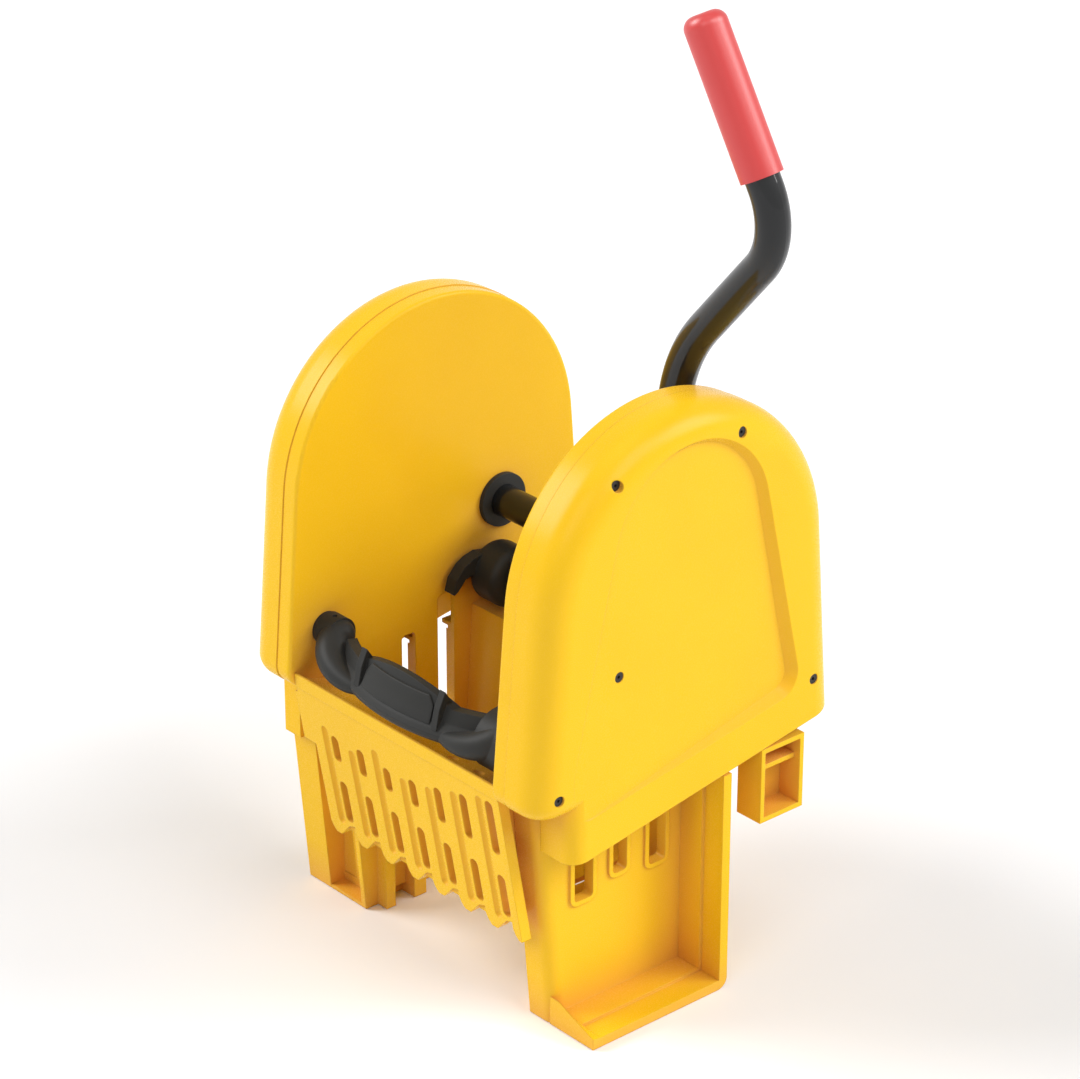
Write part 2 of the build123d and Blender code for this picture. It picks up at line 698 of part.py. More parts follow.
# Cross shaft with bushes and left collar
bush_bore = shaft_radius + run_gap
bush_outer = bush_bore + bush_wall
cross_shaft = ring(-shaft_end_x, shaft_end_x, shaft_y, shaft_z, shaft_radius, shaft_bore_radius)
right_shaft_bush = ring(panel_in_x - bush_flange, panel_in_x, shaft_y, shaft_z, bush_flange_radius, bush_bore)
right_shaft_bush = right_shaft_bush + ring(panel_in_x - 1, bush_end_x, shaft_y, shaft_z, bush_outer,
                                           bush_bore)
right_shaft_bush = one(right_shaft_bush)
left_shaft_bush = mirrored(right_shaft_bush)
left_shaft_collar = ring(-bush_end_x - collar_length, -bush_end_x, shaft_y, shaft_z, collar_radius, bush_bore)
collar_mid_x = -bush_end_x - collar_length / 2
set_radius = 2.5
shaft_flat = shaft_radius - 1.0
set_low_z = shaft_z + shaft_flat
set_hole = upright(collar_mid_x, shaft_y, set_low_z, shaft_z + 40, set_radius + run_gap)
left_shaft_collar = one(left_shaft_collar - set_hole)
cross_shaft = cross_shaft - set_hole
left_collar_screw = one(upright(collar_mid_x, shaft_y, set_low_z, shaft_z + collar_radius - 0.5, set_radius))

# Lever group, drawn upright over the shaft and then leaned forward
lean_pose = Pos(0, shaft_y, shaft_z) * Rot(lever_lean, 0, 0)


low_turn = math.atan2(bend_high[0] - bend_low[0], bend_high[1] - bend_low[1])
top_turn = math.atan2(lever_top[0] - bend_high[0], lever_top[1] - bend_high[1])
low_reach = bend_low_radius * math.tan(low_turn / 2)
high_reach = bend_high_radius * math.tan((low_turn - top_turn) / 2)


def step_from(point, angle, distance):
    """Point at a distance along a heading measured from upright."""
    return (point[0] + distance * math.sin(angle), point[1] + distance * math.cos(angle))


low_start = step_from(bend_low, math.pi, low_reach)
low_end = step_from(bend_low, low_turn, low_reach)
high_start = step_from(bend_high, low_turn + math.pi, high_reach)
high_end = step_from(bend_high, top_turn, high_reach)
tube_top = step_from(lever_top, top_turn + math.pi, grip_end_wall)


def in_plane(point):
    """Point of the lever plane before it is leaned."""
    return (point[0], 0, point[1])


first_run = Line((lever_x, 0, tube_foot), in_plane(low_start))
first_bend = TangentArc(in_plane(low_start), in_plane(low_end), tangent=(0, 0, 1))
second_run = Line(in_plane(low_end), in_plane(high_start))
heading = (math.sin(low_turn), 0, math.cos(low_turn))
second_bend = TangentArc(in_plane(high_start), in_plane(high_end), tangent=heading)
third_run = Line(in_plane(high_end), in_plane(tube_top))
lever_wire = Wire([first_run, first_bend, second_run, second_bend, third_run])
foot_plane = Plane(origin=(lever_x, 0, tube_foot), z_dir=(0, 0, 1))
tube_solid = sweep(foot_plane * Circle(tube_radius), path=lever_wire)
tube_hollow = sweep(foot_plane * Circle(tube_radius - tube_wall), path=lever_wire)
lever_tube = one(tube_solid - tube_hollow)

top_heading = (math.sin(top_turn), 0, math.cos(top_turn))
grip_top = Plane(origin=in_plane(lever_top), x_dir=(0, 1, 0), z_dir=top_heading)
grip_bore = tube_radius + run_gap
grip_shape = extrude(grip_top * Circle(grip_radius), amount=-grip_length)
end_edges = [edge for edge in grip_shape.edges() if edge.geom_type == GeomType.CIRCLE]
top_edge = max(end_edges, key=lambda edge: edge.center().Z)
grip_shape = fillet([top_edge], 9.0)
grip_cut = extrude(grip_top.offset(-grip_end_wall) * Circle(grip_bore), amount=-grip_length)
lever_grip = one(grip_shape - grip_cut)

lever_hub = Pos(lever_x, 0, 0) * Rot(0, 90, 0) * Cylinder(hub_radius, 2 * hub_half)
lever_hub = lever_hub + upright(lever_x, 0, 0, socket_top, socket_radius)
lever_hub = lever_hub - Pos(lever_x, 0, 0) * Rot(0, 90, 0) * Cylinder(bush_bore, 4 * hub_half)
lever_hub = lever_hub - upright(lever_x, 0, tube_foot, socket_top + 1, tube_radius + run_gap)
bolt_z = 42.0
bolt_hole = bolt_radius + screw_fit
cross_hole = Pos(lever_x, 0, bolt_z) * Rot(0, 90, 0) * Cylinder(bolt_hole, 60)
spot = socket_radius - 1.5
lever_hub = lever_hub - cross_hole
lever_tube = one(lever_tube - cross_hole)
for sign in (-1, 1):
    lever_hub = lever_hub - block((lever_x + (spot if sign > 0 else -30), -8, bolt_z - 8),
                                  (lever_x + (30 if sign > 0 else -spot), 8, bolt_z + 8))
tube_bolt = Pos(lever_x, 0, bolt_z) * Rot(0, 90, 0) * Cylinder(bolt_radius, 2 * spot)
for sign in (-1, 1):
    head_x = lever_x + sign * (spot + bolt_head / 2)
    tube_bolt = tube_bolt + Pos(head_x, 0, bolt_z) * Rot(0, 90, 0) * Cylinder(bolt_head_radius, bolt_head)
tube_bolt = one(tube_bolt)
hub_flat = hub_radius - 1.5
hub_side_x = lever_x - hub_half / 2
hub_hole = Pos(hub_side_x, 0, 0) * Rot(90, 0, 0) * Cylinder(bolt_hole, 80)
lever_hub = lever_hub - hub_hole
for sign in (-1, 1):
    lever_hub = lever_hub - block((hub_side_x - 7, hub_flat if sign > 0 else -40, -7),
                                  (hub_side_x + 7, 40 if sign > 0 else -hub_flat, 7))
hub_bolt = Pos(hub_side_x, 0, 0) * Rot(90, 0, 0) * Cylinder(bolt_radius, 2 * hub_flat)
for sign in (-1, 1):
    hub_bolt = hub_bolt + Pos(hub_side_x, sign * (hub_flat + bolt_head / 2), 0) * Rot(90, 0, 0) * Cylinder(
        bolt_head_radius, bolt_head)
hub_bolt = one(hub_bolt)
lever_hub = one(lean_pose * one(lever_hub))
lever_tube = lean_pose * lever_tube
lever_grip = lean_pose * lever_grip
tube_bolt = lean_pose * tube_bolt
hub_bolt = lean_pose * hub_bolt
cross_shaft = cross_shaft - lean_pose * hub_hole

# Rear press
bar = extrude(Plane.XZ * (Pos(0, rear_bar_z) * SlotOverall(2 * rear_bar_half_x, rear_bar_height)),
              amount=rear_bar_depth / 2, both=True)
bar = fillet(bar.edges(), rear_bar_round)
rear_press = Pos(0, rear_bar_y, 0) * bar
for sign in (-1, 1):
    low_x = sign * hanger_x - hanger_half
    high_x = sign * hanger_x + hanger_half
    arm = [(rear_bar_y - 5, rear_bar_z - 10), (rear_bar_y + 5, rear_bar_z - 10), (shaft_y + 14, shaft_z),
           (shaft_y - 14, shaft_z)]
    rear_press = rear_press + outline_prism(arm, low_x, high_x)
    rear_press = rear_press + rod(low_x, high_x, shaft_y, shaft_z, hanger_ring)
for low_x in (-rear_lobe_left_x, rear_bar_half_x - lobe_length):
    lobe = rod(low_x, low_x + lobe_length, rear_bar_y, rear_bar_z, lobe_radius)
    lobe = fillet(lobe.edges().filter_by(GeomType.CIRCLE), lobe_round)
    rear_press = rear_press + lobe
wing_points = [(-6, 17), (-17, 19), (-26, 17), (-34, 13), (-42.5, 4), (-46.5, -9), (-41, -6),
               (-33, 2.5), (-10, 7)]
wing_points = [(rear_bar_y + dy, rear_bar_z + dz) for dy, dz in wing_points]
wing = outline_prism(wing_points, wing_low_x, wing_high_x, wing_round)
rear_press = rear_press + wing
ring_flat = hanger_ring - 1.5
rear_bolts = []
for sign in (-1, 1):
    x = sign * hanger_x
    rear_press = rear_press - rod(x - 20, x + 20, shaft_y, shaft_z, bush_bore)
    hole = Pos(x, shaft_y, shaft_z) * Rot(90, 0, 0) * Cylinder(bolt_hole, 80)
    rear_press = rear_press - hole
    cross_shaft = cross_shaft - hole
    for side in (-1, 1):
        rear_press = rear_press - block((x - 7, shaft_y + (ring_flat if side > 0 else -40), shaft_z - 7),
                                        (x + 7, shaft_y + (40 if side > 0 else -ring_flat), shaft_z + 7))
    bolt = Pos(x, shaft_y, shaft_z) * Rot(90, 0, 0) * Cylinder(bolt_radius, 2 * ring_flat)
    for side in (-1, 1):
        head_y = shaft_y + side * (ring_flat + bolt_head / 2)
        bolt = bolt + Pos(x, head_y, shaft_z) * Rot(90, 0, 0) * Cylinder(bolt_head_radius, bolt_head)
    rear_bolts.append(bolt)
rear_press = one(rear_press)
rear_press_bolts = group(rear_bolts)

# Front press
section = [(14, bow_top_z), (10, 250.0), (6, 240.0), (2, 234.5), (0, 231.0), (0.5, 227.5), (2.5, 224.5),
           (5.5, 223.5), (8, 225.0), (10, 232.0), (14, 240.0), (17.5, 250.0), (19, bow_top_z)]
section = [(bow_front_y + depth, z) for depth, z in section]
bow_centre_y = bow_front_y + bow_radius
bow_axis = Axis((0, bow_centre_y, 0), (0, 0, 1))
bow_face = Plane.YZ * make_face(Polyline(*section, close=True))
bow_angle = math.degrees(math.asin(bow_half_x / bow_radius))
bow = revolve(bow_face, bow_axis, bow_angle) + revolve(bow_face, bow_axis, -bow_angle)
front_press = bow
half_pad = press_rib_x
pad_rise = bow_top_z - pad_side_z
crown_radius = (half_pad ** 2 + pad_rise ** 2) / (2 * pad_rise)
crown = Pos(0, bow_front_y, bow_top_z - crown_radius) * Rot(90, 0, 0) * Cylinder(crown_radius, 200)
front_press = front_press & (crown + block((-300, -300, 0), (300, 300, pad_side_z - 4)))
rib_points = [(11, 263.0), (5, 250.0), (1.5, 234.0), (9, 236.0), (19, 248.0), (18, 252.0)]
rib_shift = bow_radius - math.sqrt(bow_radius ** 2 - press_rib_x ** 2)
points = [(bow_front_y + rib_shift + depth, z) for depth, z in rib_points]
web_shift = bow_radius - math.sqrt(bow_radius ** 2 - press_web_x ** 2)
web_points = [(13, 249.0), (11, 244.0), (7, 237.0), (9, 236.5), (13, 243.0), (15, 249.0)]
web_points = [(bow_front_y + web_shift + depth, z) for depth, z in web_points]
for sign in (-1, 1):
    front_press = front_press + outline_prism(points, sign * press_rib_x - 3, sign * press_rib_x + 3)
    rib_face = Plane.YZ.offset(sign * press_rib_x) * make_face(Polyline(*points, close=True))
    web_face = Plane.YZ.offset(sign * press_web_x) * make_face(Polyline(*web_points, close=True))
    front_press = front_press + loft([rib_face, web_face], ruled=True)
arm_line = Spline((-hub_out_x + 13.2, pivot_y - 1, pivot_z), (-95.0, pivot_y - 12.5, pivot_z - 7),
                  (-80.0, pivot_y - 20.5, pivot_z - 13.5), (-50.0, pivot_y - 23.5, pivot_z - 17))
arm_ends = [Plane(origin=arm_line @ spot, z_dir=arm_line % spot) * Circle(radius)
            for spot, radius in ((0.0, arm_radius), (0.5, arm_mid_radius), (1.0, arm_tip_radius))]
arm = sweep(arm_ends, path=arm_line, multisection=True)
arm = arm + Pos(*(arm_line @ 0)) * Sphere(arm_radius)
front_press = front_press + arm + mirrored(arm)
front_press = front_press + rod(hub_in_x, hub_out_x, pivot_y, pivot_z - right_lobe_drop, right_lobe_radius)
front_press = front_press + rod(hub_in_x + 14, hub_out_x, pivot_y, pivot_z, right_hub_radius)
front_press = front_press + rod(-hub_out_x, -left_blind_x, pivot_y, pivot_z, left_hub_radius)
for sign in (-1, 1):
    low_x = min(sign * pivot_blind_x, sign * 130)
    high_x = max(sign * pivot_blind_x, sign * 130)
    if sign < 0:
        high_x = -left_blind_x
    front_press = front_press - rod(low_x, high_x, pivot_y, pivot_z, pivot_radius + run_gap)
pin_places = [(1, 95.0, right_hub_radius - 4), (-1, 106.0, left_hub_radius - 2)]
press_pins = []
pivot_shafts = {}
ring_x = bush_end_x + 4.0
right_pivot_end = gear_out_x + gear_hub_length
pivot_shafts[1] = rod(pivot_blind_x, right_pivot_end, pivot_y, pivot_z, pivot_radius)
pivot_shafts[-1] = rod(-ring_x - 3, -left_blind_x, pivot_y, pivot_z, pivot_radius)
for sign, x, half in pin_places:
    hole = upright(sign * x, pivot_y, pivot_z - half, pivot_z + half, pin_radius + run_gap)
    open_hole = upright(sign * x, pivot_y, pivot_z - half, pivot_z + half + 40, pin_radius + run_gap)
    front_press = front_press - open_hole
    pivot_shafts[sign] = pivot_shafts[sign] - hole
    press_pins.append(upright(sign * x, pivot_y, pivot_z - half, pivot_z + half, pin_radius))
front_press = one(front_press)
front_press_pins = group(press_pins)
right_front_shaft = pivot_shafts[1]
left_front_pin = pivot_shafts[-1]

front_bore = pivot_radius + run_gap
front_outer = front_bore + front_bush_wall
right_front_bush = ring(panel_in_x - front_flange, panel_in_x, pivot_y, pivot_z, front_flange_radius,
                        front_bore)
bush_sleeve = ring(panel_in_x - 1, bush_end_x, pivot_y, pivot_z, front_outer, front_bore)
right_front_bush = one(right_front_bush + bush_sleeve)
left_front_bush = mirrored(right_front_bush)
left_front_ring = ring(-ring_x, -bush_end_x, pivot_y, pivot_z, front_outer + 3, front_bore)
ring_mid_x = -(ring_x + bush_end_x) / 2
ring_pin_half = front_outer + 2
ring_hole = upright(ring_mid_x, pivot_y, pivot_z - ring_pin_half, pivot_z + ring_pin_half + 30, 1.2 + run_gap)
left_front_ring = one(left_front_ring - ring_hole)
left_front_pin = one(left_front_pin - ring_hole)
left_ring_pin = one(upright(ring_mid_x, pivot_y, pivot_z - ring_pin_half, pivot_z + ring_pin_half, 1.2))


# Gears
def gear_face(teeth, phase):
    """Involute gear outline in (Y, Z) about the origin, one tooth centred on the phase angle."""
    pitch = gear_module * teeth / 2
    base = pitch * math.cos(math.radians(pressure_angle))
    tip = pitch + 0.9 * gear_module
    root = pitch - 1.25 * gear_module

    def roll(radius):
        if radius <= base:
            return 0.0
        ratio = math.sqrt((radius / base) ** 2 - 1)
        return ratio - math.atan(ratio)

    half = math.pi / (2 * teeth) - gear_backlash / (2 * pitch) + roll(pitch)
    start = max(base, root)
    radii = [start + (tip - start) * step / 5 for step in range(6)]
    points = []
    for tooth in range(teeth):
        middle = phase + 2 * math.pi * tooth / teeth
        low = half - roll(start)
        points.append((root, middle - low * 1.02))
        for radius in radii[(0 if start > root + 0.01 else 1):]:
            points.append((radius, middle - half + roll(radius)))
        for radius in reversed(radii[(0 if start > root + 0.01 else 1):]):
            points.append((radius, middle + half - roll(radius)))
        points.append((root, middle + low * 1.02))
    outline = [(radius * math.cos(angle), radius * math.sin(angle)) for radius, angle in points]
    return make_face(Polyline(*outline, close=True))


def gear(teeth, phase, y, z, hub_radius, hub_end_x, bore):
    """Gear with a hub on its outer side."""
    face = Plane.YZ.offset(gear_in_x) * (Pos(y, z) * gear_face(teeth, phase))
    body = extrude(face, amount=gear_width, dir=(1, 0, 0))
    if hub_end_x > gear_out_x:
        body = body + rod(gear_in_x, hub_end_x, y, z, hub_radius)
    return body - rod(gear_in_x - 1, hub_end_x + 1, y, z, bore)


def next_phase(phase, teeth, place, next_teeth, next_place):
    """Phase that puts the next gear in mesh."""
    heading = math.atan2(next_place[1] - place[1], next_place[0] - place[0])
    return heading + math.pi + math.pi / next_teeth - (phase - heading) * teeth / next_teeth


drive_place = (shaft_y, shaft_z)
rear_idler_place = (rear_idler_y, rear_idler_z)
front_idler_place = (front_idler_y, front_idler_z)
front_place = (pivot_y, pivot_z)
drive_phase = 0.0
rear_phase = next_phase(drive_phase, drive_teeth, drive_place, idler_teeth, rear_idler_place)
front_phase = next_phase(rear_phase, idler_teeth, rear_idler_place, idler_teeth, front_idler_place)
end_phase = next_phase(front_phase, idler_teeth, front_idler_place, front_teeth, front_place)
hub_end_x = gear_out_x + gear_hub_length
drive_gear = gear(drive_teeth, drive_phase, *drive_place, shaft_radius + 6, hub_end_x, bush_bore)
front_gear = gear(front_teeth, end_phase, *front_place, pivot_radius + 5, hub_end_x, front_bore)
idler_bore = idler_pin_radius + run_gap
rear_idler_gear = one(gear(idler_teeth, rear_phase, *rear_idler_place, 12, gear_out_x, idler_bore))
front_idler_gear = one(gear(idler_teeth, front_phase, *front_idler_place, 12, gear_out_x, idler_bore))
clip_grip = idler_pin_radius - 1.0
idler_pins = []
idler_clip_solids = []
for y, z in (rear_idler_place, front_idler_place):
    clip_in_x = gear_out_x + 0.2
    clip_out_x = clip_in_x + clip_width
    pin = rod(idler_pin_root_x, idler_pin_end_x, y, z, idler_pin_radius)
    pin = pin - ring(clip_in_x, clip_out_x, y, z, idler_pin_radius + 1, clip_grip)
    idler_pins.append(one(pin))
    idler_clip_solids.append(ring(clip_in_x, clip_out_x, y, z, clip_radius, clip_grip + run_gap))
rear_idler_pin = idler_pins[0]
front_idler_pin = idler_pins[1]
idler_clips = group(idler_clip_solids)

gear_pin_x = gear_out_x + gear_hub_length / 2
drive_pin_half = shaft_radius + 5
pin_hole = pin_radius + run_gap
drive_low_z = shaft_z - drive_pin_half
drive_hole = upright(gear_pin_x, shaft_y, drive_low_z, shaft_z + drive_pin_half + 30, pin_hole)
drive_gear = one(drive_gear - drive_hole)
cross_shaft = one(cross_shaft - drive_hole)
drive_gear_pin = one(upright(gear_pin_x, shaft_y, drive_low_z, shaft_z + drive_pin_half, pin_radius))
front_pin_half = pivot_radius + 4
front_low_z = pivot_z - front_pin_half
front_hole = upright(gear_pin_x, pivot_y, front_low_z, pivot_z + front_pin_half + 30, pin_hole)
front_gear = one(front_gear - front_hole)
right_front_shaft = one(right_front_shaft - front_hole)
front_gear_pin = one(upright(gear_pin_x, pivot_y, front_low_z, pivot_z + front_pin_half, pin_radius))

nodes = {
    "basket": basket,
    "left_side_frame": left_side_frame,
    "right_side_frame": right_side_frame,
    "left_cover": left_cover,
    "right_cover": right_cover,
    "left_cover_screws": left_cover_screws,
    "right_cover_screws": right_cover_screws,
    "basket_screws": basket_screws,
    "cross_shaft": cross_shaft,
    "left_shaft_bush": left_shaft_bush,
    "right_shaft_bush": right_shaft_bush,
    "left_shaft_collar": left_shaft_collar,
    "left_collar_screw": left_collar_screw,
    "lever_hub": lever_hub,
    "hub_bolt": hub_bolt,
    "lever_tube": lever_tube,
    "tube_bolt": tube_bolt,
    "lever_grip": lever_grip,
    "rear_press": rear_press,
    "rear_press_bolts": rear_press_bolts,
    "front_press": front_press,
    "front_press_pins": front_press_pins,
    "left_front_pin": left_front_pin,
    "right_front_shaft": right_front_shaft,
    "left_front_bush": left_front_bush,
    "right_front_bush": right_front_bush,
    "left_front_ring": left_front_ring,
    "left_ring_pin": left_ring_pin,
    "drive_gear": drive_gear,
    "drive_gear_pin": drive_gear_pin,
    "rear_idler_gear": rear_idler_gear,
    "front_idler_gear": front_idler_gear,
    "rear_idler_pin": rear_idler_pin,
    "front_idler_pin": front_idler_pin,
    "idler_clips": idler_clips,
    "front_gear": front_gear,
    "front_gear_pin": front_gear_pin,
}

# Shift the whole assembly so that the middle of its underside is the origin
boxes = [shape.bounding_box() for shape in nodes.values()]
shift_x = -(min(box.min.X for box in boxes) + max(box.max.X for box in boxes)) / 2
shift_y = -(min(box.min.Y for box in boxes) + max(box.max.Y for box in boxes)) / 2
shift_z = -min(box.min.Z for box in boxes)
os.makedirs("parts", exist_ok=True)
for name, shape in nodes.items():
    placed = Pos(shift_x, shift_y, shift_z) * shape
    placed.label = name
    export_step(placed, os.path.join("parts", name + ".step"))
    print(name, len(placed.solids()), round(placed.volume), placed.is_valid)
print("shift", shift_x, shift_y, shift_z)
print("rear idler", rear_idler_y + shift_y, rear_idler_z + shift_z)
print("front idler", front_idler_y + shift_y, front_idler_z + shift_z)
low = [min(getattr(box.min, axis) for box in boxes) for axis in "XYZ"]
high = [max(getattr(box.max, axis) for box in boxes) for axis in "XYZ"]
print("size", [high[i] - low[i] for i in range(3)])
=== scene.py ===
"""Mop wringer with a down-press lever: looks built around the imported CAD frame."""

import json
import logging
import math
from dataclasses import dataclass, field
from enum import Enum

import bmesh
import bpy
from mathutils import Matrix, Vector


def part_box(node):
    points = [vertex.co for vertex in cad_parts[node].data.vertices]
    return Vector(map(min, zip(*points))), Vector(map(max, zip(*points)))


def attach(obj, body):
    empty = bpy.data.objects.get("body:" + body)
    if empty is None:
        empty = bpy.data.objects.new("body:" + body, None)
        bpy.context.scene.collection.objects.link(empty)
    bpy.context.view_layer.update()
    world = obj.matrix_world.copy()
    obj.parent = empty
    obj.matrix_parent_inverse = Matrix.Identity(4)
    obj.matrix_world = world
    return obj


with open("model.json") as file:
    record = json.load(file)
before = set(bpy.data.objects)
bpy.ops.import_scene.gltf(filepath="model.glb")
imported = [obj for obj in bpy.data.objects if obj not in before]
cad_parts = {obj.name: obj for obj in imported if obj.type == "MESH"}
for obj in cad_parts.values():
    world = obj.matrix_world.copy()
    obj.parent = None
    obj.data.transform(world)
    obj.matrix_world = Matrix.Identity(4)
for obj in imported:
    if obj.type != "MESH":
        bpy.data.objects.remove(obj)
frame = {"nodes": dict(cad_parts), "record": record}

LOG = logging.getLogger("wringer")
MM = 0.001
LEAST_ROUGHNESS = 0.02
COVER_FACE_X = 169.0
SHAFT_Y = 157.0
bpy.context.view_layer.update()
SHIFT = Vector((
    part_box("right_cover")[1][0] / MM - COVER_FACE_X,
    (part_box("right_shaft_bush")[0][1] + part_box("right_shaft_bush")[1][1]) / 2 / MM - SHAFT_Y,
    0.0,
))
Color = tuple[float, float, float, float]


def at(x: float, y: float, z: float) -> Vector:
    """Turn a point of the drawing frame into a point of the row frame.

    Args:
        x: Millimetres towards the lever side.
        y: Millimetres towards the back.
        z: Millimetres above the feet.

    Returns:
        The point in metres.
    """
    return (Vector((x, y, z)) + SHIFT) * MM


class Slot(Enum):
    """Material slots of the record."""

    YELLOW = "yellow_plastic"
    BLACK = "black_plastic"
    TUBE = "black_tube"
    GRIP = "red_grip"
    GEAR = "gear_plastic"
    STEEL = "steel"
    SCREW = "dark_screw"


@dataclass(frozen=True)
class Finish:
    """A finish: base colour, gloss, coat, a fine moulded grain, soft edges, and painted shade that turns the
    colour deeper in corners and hollows.
    """

    name: str
    color: Color
    deep: Color
    roughness: float
    metallic: float = 0.0
    coat: float = 0.0
    coat_roughness: float = 0.1
    specular: float = 0.5
    subsurface: float = 0.0
    grain_scale: float = 900.0
    grain: float = 0.05
    grain_depth: float = 0.0002
    grain_strength: float = 0.25
    grain_detail: float = 2.0
    cloud_scale: float = 14.0
    cloud_detail: float = 3.0
    cloud_range: tuple[float, float] = (0.45, 0.8)
    bleed: tuple[float, float, float] = (0.004, 0.002, 0.0008)
    edge: float = 0.0
    edge_samples: int = 6
    # Painted shade: the colour the base turns to in corners and hollows, with the ambient occlusion reach in
    # mm and its samples.
    painted_shade_color: Color | None = None
    painted_shade_reach: float = 40.0
    painted_shade_samples: int = 8

    def material(self) -> bpy.types.Material:
        """Procedural material on Object coordinates.

        Returns:
            The node material of this finish.
        """
        made = bpy.data.materials.get(self.name)
        if made is not None:
            return made
        made = bpy.data.materials.new(self.name)
        made.use_nodes = True
        nodes = made.node_tree.nodes
        links = made.node_tree.links
        shader = nodes["Principled BSDF"]
        shader.inputs["Metallic"].default_value = self.metallic
        shader.inputs["Specular IOR Level"].default_value = self.specular
        shader.inputs["Coat Weight"].default_value = self.coat
        shader.inputs["Coat Roughness"].default_value = self.coat_roughness
        shader.inputs["Subsurface Weight"].default_value = self.subsurface
        shader.inputs["Subsurface Radius"].default_value = self.bleed
        place = nodes.new("ShaderNodeTexCoord")
        cloud = nodes.new("ShaderNodeTexNoise")
        cloud.inputs["Scale"].default_value = self.cloud_scale
        cloud.inputs["Detail"].default_value = self.cloud_detail
        links.new(place.outputs["Object"], cloud.inputs["Vector"])
        blend = nodes.new("ShaderNodeMix")
        blend.data_type = "RGBA"
        blend.inputs["A"].default_value = self.color
        blend.inputs["B"].default_value = self.deep
        ramp = nodes.new("ShaderNodeMapRange")
        ramp.inputs["From Min"].default_value = self.cloud_range[0]
        ramp.inputs["From Max"].default_value = self.cloud_range[1]
        links.new(cloud.outputs["Fac"], ramp.inputs["Value"])
        links.new(ramp.outputs["Result"], blend.inputs["Factor"])
        if self.painted_shade_color is None:
            links.new(blend.outputs["Result"], shader.inputs["Base Color"])
        else:
            # Painted shade: the ambient occlusion factor mixes the base colour towards the deep shade colour
            # in corners, hollows and between parts.
            shade_occlusion = nodes.new("ShaderNodeAmbientOcclusion")
            shade_occlusion.samples = self.painted_shade_samples
            shade_occlusion.inputs["Distance"].default_value = self.painted_shade_reach * MM
            paint_corner_shade = nodes.new("ShaderNodeMix")
            paint_corner_shade.data_type = "RGBA"
            paint_corner_shade.inputs["A"].default_value = self.painted_shade_color
            links.new(shade_occlusion.outputs["AO"], paint_corner_shade.inputs["Factor"])
            links.new(blend.outputs["Result"], paint_corner_shade.inputs["B"])
            links.new(paint_corner_shade.outputs["Result"], shader.inputs["Base Color"])
        grain = nodes.new("ShaderNodeTexNoise")
        grain.inputs["Scale"].default_value = self.grain_scale
        grain.inputs["Detail"].default_value = self.grain_detail
        links.new(place.outputs["Object"], grain.inputs["Vector"])
        gloss = nodes.new("ShaderNodeMapRange")
        gloss.inputs["To Min"].default_value = max(self.roughness - self.grain, LEAST_ROUGHNESS)
        gloss.inputs["To Max"].default_value = min(self.roughness + self.grain, 1.0)
        links.new(grain.outputs["Fac"], gloss.inputs["Value"])
        links.new(gloss.outputs["Result"], shader.inputs["Roughness"])
        bump = nodes.new("ShaderNodeBump")
        bump.inputs["Strength"].default_value = self.grain_strength
        bump.inputs["Distance"].default_value = self.grain_depth
        links.new(grain.outputs["Fac"], bump.inputs["Height"])
        if self.edge > 0:
            rounding = nodes.new("ShaderNodeBevel")
            rounding.samples = self.edge_samples
            rounding.inputs["Radius"].default_value = self.edge * MM
            links.new(rounding.outputs["Normal"], bump.inputs["Normal"])
        links.new(bump.outputs["Normal"], shader.inputs["Normal"])
        return made


FINISHES: dict[Slot, Finish] = {
    # The yellow carries painted shade: a deep orange in its corners and hollows.
    Slot.YELLOW: Finish("moulded_yellow", (0.87, 0.52, 0.016, 1), (0.85, 0.50, 0.015, 1), 0.27,
                        specular=0.14, subsurface=0.04, grain_scale=1100.0, edge=1.3,
                        painted_shade_color=(0.74, 0.33, 0.075, 1)),
    Slot.BLACK: Finish("grained_black", (0.029, 0.029, 0.027, 1), (0.024, 0.024, 0.023, 1), 0.46,
                       specular=0.14, grain_scale=1500.0, grain=0.08, grain_depth=0.0004, edge=1.0),
    Slot.TUBE: Finish("coated_black_tube", (0.0085, 0.009, 0.0098, 1), (0.007, 0.0074, 0.008, 1), 0.4,
                      specular=0.1, coat=0.6, coat_roughness=0.03, grain_scale=500.0, grain_depth=0.00005),
    Slot.GRIP: Finish("red_vinyl", (0.60, 0.024, 0.022, 1), (0.56, 0.021, 0.020, 1), 0.38,
                      specular=0.9, subsurface=0.06, grain_scale=1300.0, grain_depth=0.0003),
    Slot.GEAR: Finish("natural_nylon", (0.78, 0.75, 0.67, 1), (0.73, 0.70, 0.61, 1), 0.4,
                      subsurface=0.2),
    Slot.STEEL: Finish("zinc_plate", (0.52, 0.52, 0.51, 1), (0.42, 0.42, 0.42, 1), 0.32, metallic=1.0,
                       grain_scale=700.0),
    Slot.SCREW: Finish("blackened_steel", (0.03, 0.028, 0.026, 1), (0.022, 0.02, 0.018, 1), 0.45,
                       specular=0.3, grain_scale=700.0),
}


def dress(piece: bpy.types.Object, slot: Slot, body: str) -> None:
    """Give a new piece the finish of its record slot and the body it rides on.

    Args:
        piece: The finished mesh object.
        slot: The record's material slot.
        body: The CAD body that carries it.
    """
    piece.data.materials.clear()
    piece.data.materials.append(FINISHES[slot].material())
    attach(piece, body)
    LOG.info("piece %s on %s, %d faces", piece.name, body, len(piece.data.polygons))


